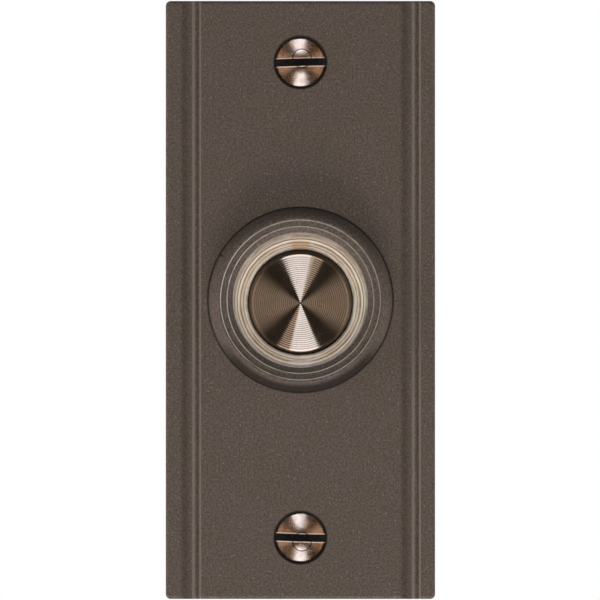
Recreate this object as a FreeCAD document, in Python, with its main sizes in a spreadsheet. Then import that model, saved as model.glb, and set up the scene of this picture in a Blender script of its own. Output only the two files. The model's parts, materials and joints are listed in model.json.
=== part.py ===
import FreeCAD, Part
import Sketcher
import math
import os

# Doorbell push button: a cast wall plate with a lighted round button.
# Lengths in mm. X is right, Z is up, the wall face is the plane Y = 0
# and the front of the button faces -Y. Depths below are distances in
# front of the wall, so a depth of 11 is the plane Y = -11.

os.makedirs("parts", exist_ok=True)
doc = FreeCAD.newDocument("doorbell_button")

SIZES = {
    # gap left between faces that rest on each other
    "seat_gap": 0.02,
    # cast plate
    "plate_width": 38.1,
    "plate_length": 84.6,
    "plate_depth": 11.0,
    "plate_wall": 2.0,
    "plate_skin": 2.6,
    "corner_round": 0.7,
    "edge_round": 0.5,
    "cavity_round": 2.0,
    "boss_wall": 2.85,
    "rib_width": 1.6,
    "rib_setback": 1.5,
    "past_face": 2.0,
    # cove and quirk moulding down each side
    "moulding_inset": 3.51,
    "ease_width": 0.55,
    "ease_drop": 0.11,
    "ease_curve": 1.47,
    "cove_width": 0.87,
    "cove_drop": 0.17,
    "cove_curve": 2.32,
    "rise_width": 0.39,
    "rise_height": 0.12,
    "rise_curve": 0.68,
    "roll_width": 0.38,
    "roll_height": 0.11,
    "roll_curve": 0.66,
    "quirk_fall": 0.27,
    "quirk_climb": 0.43,
    "quirk_drop": 0.16,
    # slotted oval-head fixing screws
    "screw_inset": 8.7,
    "screw_clearance": 0.20,
    "head_edge": 3.5,
    "head_sink": 0.30,
    "rim_gap": 0.28,
    "dome_rise": 1.15,
    "cone_depth": 2.24,
    "screw_neck": 1.55,
    "thread_radius": 1.75,
    "thread_reach": 11.6,
    "tip_length": 3.0,
    "slot_width": 1.05,
    "slot_depth": 1.25,
    # domed ring round the button
    "neck_clearance": 0.05,
    "neck_wall": 1.15,
    "neck_end": 0.55,
    "lip_cover": 0.45,
    "lip_inset": 0.60,
    "lip_thick": 0.85,
    "slope_width": 0.85,
    "slope_rise": 0.80,
    "land_width": 0.92,
    "crest_width": 0.43,
    "crest_rise": 0.30,
    "dome_width": 1.45,
    "foot_rise": 0.35,
    "bezel_curve": 2.20,
    # washer and nut that hold the domed ring
    "washer_play": 0.10,
    "washer_width": 2.20,
    "washer_thick": 0.60,
    "nut_width": 2.65,
    "nut_thick": 1.80,
    "notch_width": 3.0,
    "notch_deep": 1.20,
    # the switch unit sits a little low inside the domed ring
    "unit_drop": 0.30,
    "unit_play": 0.45,
    # clear light ring and the bright ring behind it
    "light_width": 1.40,
    "flange_thick": 1.36,
    "step_play": 0.20,
    "step_rise": 0.35,
    "cap_play": 0.25,
    "foil_inset": 0.10,
    "foil_thick": 0.25,
    "foil_skirt": 0.20,
    "foil_height": 1.16,
    "window_play": 0.30,
    # ring-shaped circuit board with its lamps, chips and leads
    "board_play": 0.60,
    "board_inset": 0.05,
    "board_thick": 1.0,
    "lamp_wide": 2.0,
    "lamp_tall": 1.25,
    "lamp_rise": 0.70,
    "chip_rise": 0.50,
    "lead_radius": 0.30,
    "lead_fit": 0.06,
    "lead_out": 0.90,
    "lead_up": 2.10,
    "lead_inset": 0.20,
    "lead_stub": 0.06,
    # moulded switch body and the split ring behind it
    "body_height": 5.20,
    "floor_thick": 1.20,
    "snap_cover": 0.70,
    "snap_thick": 0.58,
    "snap_play": 0.10,
    "snap_opening": 4.0,
    "groove_bite": 0.50,
    "groove_play": 0.03,
    # contacts and terminals
    "rivet_shank": 0.48,
    "rivet_fit": 0.02,
    "rivet_head": 0.85,
    "rivet_rise": 0.42,
    "rivet_tail": 0.75,
    "tail_thick": 0.39,
    "rivet_inset": 0.70,
    "rivet_room": 1.35,
    "tab_play": 0.40,
    "tab_thick": 0.42,
    "tab_beyond": 1.50,
    "tab_above": 0.60,
    "tab_low": 1.70,
    "clamp_thick": 0.40,
    "clamp_beyond": 0.05,
    "terminal_room": 0.15,
    "terminal_head": 1.85,
    "terminal_height": 1.17,
    "terminal_shank": 1.20,
    "terminal_fit": 0.02,
    "terminal_length": 4.70,
    "bore_spare": 0.30,
    "terminal_slot": 0.50,
    "terminal_slot_depth": 0.60,
    # moving button
    "travel": 1.40,
    "contact_gap": 0.05,
    "cap_rise": 1.35,
    "cap_room": 0.20,
    "cap_skin": 1.25,
    "cap_wall": 0.90,
    "skirt_play": 0.90,
    "shoulder_drop": 0.60,
    "shoulder_width": 0.40,
    "socket_fit": 0.05,
    "socket_wall": 0.95,
    "socket_deep": 2.10,
    "peg_radius": 2.60,
    "hub_play": 0.36,
    "hub_thick": 0.80,
    "stem_radius": 1.50,
    "stem_end": 0.40,
    "guide_clearance": 0.05,
    "clip_width": 0.70,
    "clip_bite": 0.45,
    "clip_thick": 0.42,
    "clip_opening": 1.60,
    "bridge_play": 0.10,
    "bridge_inset": 0.10,
    "bridge_thick": 0.34,
    # coil spring behind the cap
    "well_play": 0.36,
    "wire_radius": 0.24,
    "closed_rise": 0.26,
}

# Places that follow from the sizes. Each is a sum of sizes and places, and
# a name with /2 counts for half.
PLACES = {
    "half_width": "plate_width/2",
    "half_length": "plate_length/2",
    "cavity_side": "plate_width/2 - plate_wall",
    "cavity_end": "plate_length/2 - plate_wall",
    "cavity_front": "plate_depth - plate_skin",
    "boss_front": "plate_depth - plate_skin/2",
    "moulding_middle": "plate_width/2 - moulding_inset",
    "moulding_start": "cove_width + ease_width",
    "roll_end": "rise_width + roll_width",
    "quirk_middle": "roll_end + quirk_fall",
    "moulding_end": "quirk_middle + quirk_climb",
    "ease_floor": "- plate_depth + ease_drop",
    "cove_floor": "ease_floor + cove_drop",
    "rise_floor": "cove_floor - rise_height",
    "roll_floor": "rise_floor - roll_height",
    "quirk_floor": "roll_floor + quirk_drop",
    "screw_height": "plate_length/2 - screw_inset",
    "screw_hole": "thread_radius + screw_clearance",
    "boss_radius": "screw_hole + boss_wall",
    "sink_mouth": "head_edge + rim_gap",
    "head_rim": "plate_depth - head_sink",
    "head_top": "head_rim + dome_rise",
    "cone_bottom": "head_rim - cone_depth",
    "opening_radius": "neck_radius + neck_clearance",
    "neck_radius": "seat_radius + neck_wall",
    "seat_radius": "unit_radius + unit_play",
    "unit_radius": "lip_radius + lip_cover",
    "lip_radius": "light_step + unit_drop + step_play",
    "land_inner": "lip_radius + slope_width",
    "land_outer": "land_inner + land_width",
    "crest_radius": "land_outer + crest_width",
    "bezel_radius": "crest_radius + dome_width",
    "bezel_back": "plate_depth + seat_gap",
    "bezel_foot": "plate_depth + foot_rise",
    "lip_back": "plate_depth + lip_inset",
    "lip_front": "lip_back + lip_thick",
    "land_front": "lip_front + slope_rise",
    "crest_front": "land_front + crest_rise",
    "groove_radius": "seat_radius + groove_bite",
    "groove_front": "snap_front + groove_play",
    "groove_back": "snap_back - groove_play",
    "neck_back": "groove_back - neck_end",
    "washer_inner": "neck_radius + washer_play",
    "washer_outer": "washer_inner + washer_width",
    "washer_front": "cavity_front - seat_gap",
    "washer_back": "washer_front - washer_thick",
    "nut_outer": "opening_radius + nut_width",
    "nut_front": "washer_back - seat_gap",
    "nut_back": "nut_front - nut_thick",
    "notch_floor": "nut_outer - notch_deep",
    "light_inner": "cap_radius + cap_play",
    "light_step": "light_inner + light_width",
    "flange_front": "lip_back - seat_gap",
    "light_back": "flange_front - flange_thick",
    "step_front": "flange_front + step_rise",
    "foil_inner": "light_inner + foil_inset",
    "foil_front": "light_back - seat_gap",
    "foil_back": "foil_front - foil_thick",
    "foil_foot": "foil_front - foil_height",
    "foil_inside": "unit_radius - foil_skirt",
    "board_front": "foil_foot - seat_gap",
    "board_back": "board_front - board_thick",
    "board_inner": "cap_radius + board_play",
    "board_outer": "unit_radius - board_inset",
    "lamp_middle": "board_inner/2 + board_outer/2",
    "chip_back": "board_front + seat_gap",
    "body_front": "board_back - seat_gap",
    "body_back": "body_front - body_height",
    "floor_front": "body_back + floor_thick",
    "guide_radius": "stem_radius + guide_clearance",
    "well_radius": "rivet_spot + rivet_head + rivet_room",
    "snap_front": "body_back - seat_gap",
    "snap_back": "snap_front - snap_thick",
    "snap_inner": "unit_radius - snap_cover",
    "snap_outer": "groove_radius - snap_play",
    "tab_front": "body_back - seat_gap",
    "tab_back": "tab_front - tab_thick",
    "tab_start": "clip_outer + tab_play",
    "tab_end": "terminal_spot + tab_beyond",
    "tab_high": "lead_up + tab_above",
    "rivet_spot": "tab_start + rivet_inset",
    "rivet_hole": "rivet_shank + rivet_fit",
    "rivet_front": "floor_front + rivet_rise",
    "rivet_seat": "floor_front + seat_gap",
    "tail_front": "tab_back - seat_gap",
    "tail_back": "tail_front - tail_thick",
    "clamp_front": "tab_back - seat_gap",
    "clamp_back": "clamp_front - clamp_thick",
    "clamp_outer": "terminal_head + clamp_beyond",
    "terminal_front": "clamp_back - seat_gap",
    "terminal_back": "terminal_front - terminal_height",
    "terminal_end": "terminal_front + terminal_length",
    "terminal_bore": "terminal_shank + terminal_fit",
    "terminal_bore_end": "terminal_end + bore_spare",
    "terminal_spot": "snap_inner - terminal_room - terminal_head",
    "lead_x": "terminal_spot + lead_out",
    "lead_hole": "lead_radius + lead_fit",
    "lead_front": "board_front - lead_inset",
    "lead_back": "tab_back - lead_stub",
    "cap_front": "plate_depth + cap_rise",
    "shoulder_front": "cap_front - shoulder_drop",
    "cap_radius": "skirt_inner + cap_wall",
    "cap_flat": "cap_radius - shoulder_width",
    "cap_back": "body_front + travel + cap_room",
    "cap_inside": "cap_front - cap_skin",
    "skirt_inner": "well_radius + skirt_play",
    "socket_inner": "peg_radius + socket_fit",
    "socket_outer": "socket_inner + socket_wall",
    "socket_back": "cap_inside - socket_deep",
    "peg_front": "cap_inside - seat_gap",
    "bridge_back": "rivet_front + travel + contact_gap",
    "bridge_front": "bridge_back + bridge_thick",
    "bridge_inner": "stem_radius + bridge_play",
    "bridge_outer": "hub_radius - bridge_inset",
    "hub_back": "bridge_front + seat_gap",
    "hub_front": "hub_back + hub_thick",
    "hub_radius": "spring_radius - wire_radius - hub_play",
    "clip_front": "body_back - seat_gap",
    "clip_back": "clip_front - clip_thick",
    "clip_outer": "stem_radius + clip_width",
    "clip_inner": "stem_groove + guide_clearance",
    "stem_groove": "stem_radius - clip_bite",
    "stem_groove_front": "clip_front + groove_play",
    "stem_groove_back": "clip_back - groove_play",
    "stem_back": "stem_groove_back - stem_end",
    "spring_radius": "well_radius - well_play - wire_radius",
    "spring_bottom": "floor_front + wire_radius + seat_gap",
    "spring_top": "cap_inside - wire_radius - seat_gap",
}

sheet = doc.addObject("Spreadsheet::Sheet", "Sizes")
for row, (name, size) in enumerate(SIZES.items(), start=1):
    sheet.set(f"A{row}", name)
    sheet.set(f"B{row}", f"{size:g}")
    sheet.setAlias(f"B{row}", name)
doc.recompute()


def terms(text, sign=1, share=1.0):
    """The signed sizes that a sum of sizes and places comes down to."""
    found = []
    mark = 1
    for word in text.split():
        if word in "+-":
            mark = -1 if word == "-" else 1
            continue
        name, _, part = word.partition("/")
        divided = share * (float(part) if part else 1.0)
        if name in PLACES:
            found += terms(PLACES[name], sign * mark, divided)
        else:
            found.append((sign * mark, name, divided))
        mark = 1
    return found


def amount(text):
    return sum(sign * sheet.get(name) / share for sign, name, share in terms(text))


def formula(text, flip=1):
    words = []
    for sign, name, share in terms(text):
        mark = "-" if sign * flip < 0 else "+"
        words.append(f"{mark} Sizes.{name}" + (f" / {share:g}" if share != 1 else ""))
    joined = " ".join(words)
    return joined[2:] if joined.startswith("+") else "0 " + joined


def negated(text):
    """The same sum with every sign turned round."""
    words = []
    mark = "+"
    for word in text.split():
        if word in "+-":
            mark = word
        else:
            words += ["-" if mark == "+" else "+", word]
            mark = "+"
    return " ".join(words)


def bind(thing, prop, text):
    thing.setExpression(prop, formula(text))


def new_body(name):
    body = doc.addObject("PartDesign::Body", "body_" + name)
    body.Label = name
    return body


def new_sketch(body, name, plane, lift=None, shift=None, turn=0.0):
    """A sketch on an origin plane, lifted along its normal or shifted along its y."""
    sketch = body.newObject("Sketcher::SketchObject", name)
    for feature in body.Origin.OriginFeatures:
        if getattr(feature, "Role", "") == plane:
            sketch.AttachmentSupport = [(feature, "")]
    sketch.MapMode = "FlatFace"
    place = FreeCAD.Placement()
    place.Rotation = FreeCAD.Rotation(FreeCAD.Vector(0, 0, 1), turn)
    sketch.AttachmentOffset = place
    if lift:
        bind(sketch, "AttachmentOffset.Base.z", lift)
    if shift:
        bind(sketch, "AttachmentOffset.Base.y", shift)
    return sketch


def pin_point(sketch, geo, pos, xtext, ytext):
    for text, kind, axis in ((xtext, "DistanceX", -2), (ytext, "DistanceY", -1)):
        size = amount(text)
        if abs(size) < 1e-9:
            sketch.addConstraint(Sketcher.Constraint("PointOnObject", geo, pos, axis))
            continue
        if size > 0:
            rule = Sketcher.Constraint(kind, -1, 1, geo, pos, size)
        else:
            rule = Sketcher.Constraint(kind, geo, pos, -1, 1, -size)
        index = sketch.addConstraint(rule)
        label = f"side{geo + 1}_{pos}_{kind[-1].lower()}"
        sketch.renameConstraint(index, label)
        flip = 1 if size > 0 else -1
        sketch.setExpression(f"Constraints.{label}", formula(text, flip))


def fix_radius(sketch, geo, radius):
    index = sketch.addConstraint(Sketcher.Constraint("Radius", geo, amount(radius)))
    sketch.renameConstraint(index, f"curve{geo + 1}")
    sketch.setExpression(f"Constraints.curve{geo + 1}", formula(radius))


def middle_of_arc(start, end, radius, side):
    chord = end - start
    half = chord.Length / 2
    across = FreeCAD.Vector(-chord.y, chord.x, 0).normalize()
    rise = radius - math.sqrt(radius**2 - half**2)
    return start + chord * 0.5 + across * (rise * side)


def centred_radius(start, end):
    """The radius of the arc through two points whose centre is on the y axis."""
    centre = (end.Length**2 - start.Length**2) / (2 * (end.y - start.y))
    return (start - FreeCAD.Vector(0, centre, 0)).Length


def outline(sketch, corners, arcs=None):
    """A closed outline. arcs gives the radius and bulge of its curved sides.

    A curved side with no radius has its centre on the sketch's y axis."""
    arcs = arcs or {}
    spots = [FreeCAD.Vector(amount(xtext), amount(ytext), 0) for xtext, ytext in corners]
    ends = []
    for number, start in enumerate(spots):
        end = spots[(number + 1) % len(spots)]
        if number in arcs:
            radius, side = arcs[number]
            size = amount(radius) if radius else centred_radius(start, end)
            middle = middle_of_arc(start, end, size, side)
            geo = sketch.addGeometry(Part.Arc(start, middle, end), False)
            forward = (sketch.getPoint(geo, 1) - start).Length < 1e-6
            ends.append((geo, 1, 2) if forward else (geo, 2, 1))
        else:
            geo = sketch.addGeometry(Part.LineSegment(start, end), False)
            ends.append((geo, 1, 2))
    for number, (geo, first, last) in enumerate(ends):
        after, begin, _ = ends[(number + 1) % len(ends)]
        sketch.addConstraint(Sketcher.Constraint("Coincident", geo, last, after, begin))
    for (geo, first, _), (xtext, ytext) in zip(ends, corners):
        pin_point(sketch, geo, first, xtext, ytext)
    for number, (radius, _) in arcs.items():
        geo = ends[number][0]
        if radius:
            fix_radius(sketch, geo, radius)
        else:
            sketch.addConstraint(Sketcher.Constraint("PointOnObject", geo, 3, -2))


def circle(sketch, xtext, ytext, radius):
    middle = FreeCAD.Vector(amount(xtext), amount(ytext), 0)
    shape = Part.Circle(middle, FreeCAD.Vector(0, 0, 1), amount(radius))
    geo = sketch.addGeometry(shape, False)
    pin_point(sketch, geo, 3, xtext, ytext)
    fix_radius(sketch, geo, radius)


def box_outline(sketch, left, right, low, high):
    outline(sketch, [(left, low), (right, low), (right, high), (left, high)])


def pad(body, sketch, name, length):
    feature = body.newObject("PartDesign::Pad", name)
    feature.Profile = sketch
    bind(feature, "Length", length)
    return feature


def cut(body, sketch, name, length=None, forward=True):
    """Cuts towards the front, or backwards, and checks that material went."""
    doc.recompute()
    before = body.Shape.Volume
    feature = body.newObject("PartDesign::Pocket", name)
    feature.Profile = sketch
    feature.Reversed = forward
    if length:
        bind(feature, "Length", length)
    else:
        feature.Type = "ThroughAll"
    check_cut(body, before, name)


def check_cut(body, before, name):
    doc.recompute()
    if not body.Shape.Volume < before - 1e-4:
        raise RuntimeError(f"{name} removed nothing")


def turned(name, corners, arcs=None):
    """A piece turned about the button's axis. Corners are radius and depth."""
    body = new_body(name)
    sketch = new_sketch(body, name + "_profile", "XY_Plane")
    outline(sketch, [(radius, negated(depth)) for radius, depth in corners], arcs)
    feature = body.newObject("PartDesign::Revolution", name + "_turning")
    feature.Profile = sketch
    feature.ReferenceAxis = (sketch, ["V_Axis"])
    feature.Angle = 360
    return body


def place(body, x="", z=""):
    for prop, text in (("Placement.Base.x", x), ("Placement.Base.z", z)):
        if text:
            bind(body, prop, text)
    return body


def edges_where(shape, test):
    return [f"Edge{number + 1}" for number, edge in enumerate(shape.Edges) if test(edge)]


def runs_deep(edge):
    box = edge.BoundBox
    return box.YLength > amount("plate_depth/2") and box.DiagonalLength < box.YLength + 0.01


def on_front(edge):
    box = edge.BoundBox
    return abs(box.YMin + amount("plate_depth")) < 1e-4 and box.YLength < 1e-4


def round_edges(body, base, name, test, radius):
    doc.recompute()
    feature = body.newObject("PartDesign::Fillet", name)
    feature.Base = (base, edges_where(base.Shape, test))
    bind(feature, "Radius", radius)
    return feature


def plate_cavity(plate):
    """The hollow behind the plate, with rounded corners."""
    sketch = new_sketch(plate, "cavity_outline", "XZ_Plane")
    side, end = "cavity_side", "cavity_end"
    near_side, near_end = side + " - cavity_round", end + " - cavity_round"
    outline(
        sketch,
        [
            (negated(near_side), negated(end)),
            (near_side, negated(end)),
            (side, negated(near_end)),
            (side, near_end),
            (near_side, end),
            (negated(near_side), end),
            (negated(side), near_end),
            (negated(side), negated(near_end)),
        ],
        {number: ("cavity_round", -1) for number in (1, 3, 5, 7)},
    )
    cut(plate, sketch, "plate_cavity", "cavity_front")


def plate_bosses(plate):
    """Screw bosses that reach the wall, each with a rib across the cavity."""
    sketch = new_sketch(plate, "boss_outline", "XZ_Plane")
    for height in ("screw_height", "- screw_height"):
        circle(sketch, "", height, "boss_radius")
    pad(plate, sketch, "screw_bosses", "boss_front")
    reach = "cavity_side + plate_wall/2"
    for end, height in (("top", "screw_height"), ("bottom", "- screw_height")):
        rib = new_sketch(plate, "rib_outline_" + end, "XZ_Plane", lift="rib_setback")
        low, high = height + " - rib_width/2", height + " + rib_width/2"
        box_outline(rib, negated(reach), reach, low, high)
        pad(plate, rib, "rib_" + end, "boss_front - rib_setback")


def plate_screw_holes(plate):
    """A through hole and a countersink that follows the screw's head."""
    for end, height in (("top", "screw_height"), ("bottom", "- screw_height")):
        hole = new_sketch(plate, "hole_outline_" + end, "XZ_Plane")
        circle(hole, "", height, "screw_hole")
        cut(plate, hole, "screw_hole_" + end)
        sink = new_sketch(plate, "sink_profile_" + end, "YZ_Plane", shift=height)
        outline(
            sink,
            [
                ("- plate_depth - past_face", ""),
                ("- plate_depth - past_face", "sink_mouth"),
                ("- plate_depth", "sink_mouth"),
                ("- head_rim", "head_edge + seat_gap"),
                ("- cone_bottom", "screw_neck + seat_gap"),
                ("- cone_bottom", ""),
            ],
        )
        doc.recompute()
        before = plate.Shape.Volume
        groove = plate.newObject("PartDesign::Groove", "countersink_" + end)
        groove.Profile = sink
        groove.ReferenceAxis = (sink, ["H_Axis"])
        groove.Angle = 360
        check_cut(plate, before, "countersink_" + end)


def plate_mouldings(plate):
    """A shallow cove with a quirk beside it, down the full height of each side."""
    sketch = new_sketch(plate, "moulding_profile", "XY_Plane", lift="plate_length")
    for middle in ("moulding_middle", "- moulding_middle"):
        start, end = middle + " - moulding_start", middle + " + moulding_end"
        outline(
            sketch,
            [
                (start, "- plate_depth - past_face"),
                (end, "- plate_depth - past_face"),
                (end, "- plate_depth"),
                (middle + " + quirk_middle", "quirk_floor"),
                (middle + " + roll_end", "roll_floor"),
                (middle + " + rise_width", "rise_floor"),
                (middle, "cove_floor"),
                (middle + " - cove_width", "ease_floor"),
                (start, "- plate_depth"),
            ],
            {
                4: ("roll_curve", 1),
                5: ("rise_curve", -1),
                6: ("cove_curve", -1),
                7: ("ease_curve", 1),
            },
        )
    cut(plate, sketch, "side_mouldings", forward=False)


def make_face_plate():
    plate = new_body("face_plate")
    sketch = new_sketch(plate, "plate_outline", "XZ_Plane")
    box_outline(sketch, "- half_width", "half_width", "- half_length", "half_length")
    block = pad(plate, sketch, "plate_block", "plate_depth")
    corners = round_edges(plate, block, "plate_corners", runs_deep, "corner_round")
    round_edges(plate, corners, "plate_front_edges", on_front, "edge_round")
    plate_cavity(plate)
    plate_bosses(plate)
    opening = new_sketch(plate, "opening_outline", "XZ_Plane")
    circle(opening, "", "", "opening_radius")
    cut(plate, opening, "button_opening")
    plate_screw_holes(plate)
    plate_mouldings(plate)


def make_bezel_ring():
    """Dome, inner land, lip over the light ring and a neck through the plate."""
    turned(
        "bezel_ring",
        [
            ("bezel_radius", "bezel_back"),
            ("bezel_radius", "bezel_foot"),
            ("crest_radius", "crest_front"),
            ("land_outer", "crest_front"),
            ("land_outer", "land_front"),
            ("land_inner", "land_front"),
            ("lip_radius", "lip_front"),
            ("lip_radius", "lip_back"),
            ("seat_radius", "lip_back"),
            ("seat_radius", "groove_front"),
            ("groove_radius", "groove_front"),
            ("groove_radius", "groove_back"),
            ("seat_radius", "groove_back"),
            ("seat_radius", "neck_back"),
            ("neck_radius", "neck_back"),
            ("neck_radius", "bezel_back"),
        ],
        {1: ("bezel_curve", 1)},
    )


def flat_ring(name, inner, outer, front, back):
    return turned(name, [(inner, front), (outer, front), (outer, back), (inner, back)])


def make_washer_and_nut():
    flat_ring("lock_washer", "washer_inner", "washer_outer", "washer_front", "washer_back")
    nut = flat_ring("retaining_nut", "opening_radius", "nut_outer", "nut_front", "nut_back")
    sketch = new_sketch(nut, "nut_notches", "XZ_Plane")
    across = ("- notch_width/2", "notch_width/2")
    outer = "nut_outer + past_face"
    for along in (("notch_floor", outer), (negated(outer), "- notch_floor")):
        box_outline(sketch, *across, *along)
        box_outline(sketch, *along, *across)
    cut(nut, sketch, "spanner_notches")


def make_light_ring():
    ring = turned(
        "light_ring",
        [
            ("light_inner", "light_back"),
            ("light_inner", "step_front"),
            ("light_step", "step_front"),
            ("light_step", "flange_front"),
            ("unit_radius", "flange_front"),
            ("unit_radius", "light_back"),
        ],
    )
    place(ring, z="- unit_drop")


def make_reflector_ring():
    ring = turned(
        "reflector_ring",
        [
            ("foil_inner", "foil_front"),
            ("unit_radius", "foil_front"),
            ("unit_radius", "foil_foot"),
            ("foil_inside", "foil_foot"),
            ("foil_inside", "foil_back"),
            ("foil_inner", "foil_back"),
        ],
    )
    sketch = new_sketch(ring, "lamp_windows", "XZ_Plane")
    wide = "lamp_wide/2 + window_play/2"
    tall = "lamp_tall/2 + window_play/2"
    for spot in ("lamp_middle", "- lamp_middle"):
        box_outline(sketch, negated(wide), wide, f"{spot} {negated(tall)}", f"{spot} + {tall}")
    cut(ring, sketch, "lamp_window_cut")
    place(ring, z="- unit_drop")


def make_board():
    board = new_body("led_board")
    sketch = new_sketch(board, "board_outline", "XZ_Plane", lift="board_back")
    circle(sketch, "", "", "board_outer")
    circle(sketch, "", "", "board_inner")
    for x in ("lead_x", "- lead_x"):
        circle(sketch, x, "lead_up", "lead_hole")
    pad(board, sketch, "board_pad", "board_thick")
    place(board, z="- unit_drop")


def make_chip(name, x, z, wide, tall, rise):
    chip = new_body(name)
    sketch = new_sketch(chip, name + "_outline", "XZ_Plane", lift="chip_back")
    box_outline(
        sketch,
        f"{x} - {wide}/2",
        f"{x} + {wide}/2",
        f"{z} - {tall}/2",
        f"{z} + {tall}/2",
    )
    pad(chip, sketch, name + "_pad", rise)
    place(chip, z="- unit_drop")


def make_switch_body():
    body = turned(
        "switch_body",
        [
            ("guide_radius", "body_back"),
            ("unit_radius", "body_back"),
            ("unit_radius", "body_front"),
            ("well_radius", "body_front"),
            ("well_radius", "floor_front"),
            ("guide_radius", "floor_front"),
        ],
    )
    through = new_sketch(body, "through_holes", "XZ_Plane")
    bores = new_sketch(body, "terminal_bores", "XZ_Plane")
    for sign in ("", "- "):
        circle(through, sign + "rivet_spot", "", "rivet_hole")
        circle(through, sign + "lead_x", "lead_up", "lead_hole")
        circle(bores, sign + "terminal_spot", "", "terminal_bore")
    cut(body, through, "through_hole_cut")
    cut(body, bores, "terminal_bore_cut", "terminal_bore_end")
    place(body, z="- unit_drop")


def make_split_ring(name, inner, outer, front, back, opening):
    """A flat ring with an opening at its lowest point."""
    ring = flat_ring(name, inner, outer, front, back)
    sketch = new_sketch(ring, name + "_opening", "XZ_Plane")
    low, high = f"- {outer} - past_face", f"- {inner}/2"
    box_outline(sketch, f"- {opening}/2", f"{opening}/2", low, high)
    cut(ring, sketch, name + "_opening_cut")
    return ring


def make_contact_rivet(side, sign):
    rivet = turned(
        "contact_rivet_" + side,
        [
            ("", "tail_back"),
            ("rivet_tail", "tail_back"),
            ("rivet_tail", "tail_front"),
            ("rivet_shank", "tail_front"),
            ("rivet_shank", "rivet_seat"),
            ("rivet_head", "rivet_seat"),
            ("rivet_head", "rivet_front"),
            ("", "rivet_front"),
        ],
    )
    place(rivet, x=sign + "rivet_spot", z="- unit_drop")


def make_terminal_plate(side, sign):
    tab = new_body("terminal_plate_" + side)
    sketch = new_sketch(tab, "tab_outline_" + side, "XZ_Plane", lift="tab_back")
    ends = ("tab_start", "tab_end") if not sign else ("- tab_end", "- tab_start")
    box_outline(sketch, *ends, "- tab_low", "tab_high")
    circle(sketch, sign + "rivet_spot", "", "rivet_hole")
    circle(sketch, sign + "terminal_spot", "", "terminal_bore")
    circle(sketch, sign + "lead_x", "lead_up", "lead_hole")
    pad(tab, sketch, "tab_pad_" + side, "tab_thick")
    place(tab, z="- unit_drop")


def make_terminal_screw(side, sign):
    washer = flat_ring(
        "clamp_washer_" + side, "terminal_bore", "clamp_outer", "clamp_front", "clamp_back"
    )
    place(washer, x=sign + "terminal_spot", z="- unit_drop")
    screw = turned(
        "terminal_screw_" + side,
        [
            ("", "terminal_back"),
            ("terminal_head", "terminal_back"),
            ("terminal_head", "terminal_front"),
            ("terminal_shank", "terminal_front"),
            ("terminal_shank", "terminal_end"),
            ("", "terminal_end"),
        ],
    )
    sketch = new_sketch(screw, "slot_outline_" + side, "XZ_Plane")
    reach = "terminal_head + terminal_slot"
    box_outline(sketch, "- terminal_slot/2", "terminal_slot/2", negated(reach), reach)
    cut(screw, sketch, "slot_cut_" + side, "terminal_back + terminal_slot_depth")
    place(screw, x=sign + "terminal_spot", z="- unit_drop")


def make_board_lead(side, sign):
    lead = turned(
        "board_lead_" + side,
        [
            ("", "lead_back"),
            ("lead_radius", "lead_back"),
            ("lead_radius", "lead_front"),
            ("", "lead_front"),
        ],
    )
    place(lead, x=sign + "lead_x", z="lead_up - unit_drop")


def make_mounting_screw(end, height, slot_tilt):
    """A slotted oval-head screw whose shank runs back into the wall."""
    screw = turned(
        "mounting_screw_" + end,
        [
            ("", "head_top"),
            ("head_edge", "head_rim"),
            ("screw_neck", "cone_bottom"),
            ("screw_neck", ""),
            ("thread_radius", ""),
            ("thread_radius", "- thread_reach"),
            ("", "- thread_reach - tip_length"),
        ],
        {0: ("", -1)},
    )
    sketch = new_sketch(
        screw, "head_slot_" + end, "XZ_Plane", lift="head_top", turn=slot_tilt
    )
    reach = "head_edge + slot_width"
    box_outline(sketch, negated(reach), reach, "- slot_width/2", "slot_width/2")
    cut(screw, sketch, "head_slot_cut_" + end, "slot_depth", forward=False)
    place(screw, z=height)


def make_button_cap():
    cap = turned(
        "button_cap",
        [
            ("", "cap_front"),
            ("cap_flat", "cap_front"),
            ("cap_radius", "shoulder_front"),
            ("cap_radius", "cap_back"),
            ("skirt_inner", "cap_back"),
            ("skirt_inner", "cap_inside"),
            ("socket_outer", "cap_inside"),
            ("socket_outer", "socket_back"),
            ("socket_inner", "socket_back"),
            ("socket_inner", "cap_inside"),
            ("", "cap_inside"),
        ],
    )
    place(cap, z="- unit_drop")


def make_plunger():
    """Peg in the cap's socket, hub over the bridge and a stem with a clip groove."""
    plunger = turned(
        "plunger",
        [
            ("", "peg_front"),
            ("peg_radius", "peg_front"),
            ("peg_radius", "hub_front"),
            ("hub_radius", "hub_front"),
            ("hub_radius", "hub_back"),
            ("stem_radius", "hub_back"),
            ("stem_radius", "stem_groove_front"),
            ("stem_groove", "stem_groove_front"),
            ("stem_groove", "stem_groove_back"),
            ("stem_radius", "stem_groove_back"),
            ("stem_radius", "stem_back"),
            ("", "stem_back"),
        ],
    )
    place(plunger, z="- unit_drop")


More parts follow.
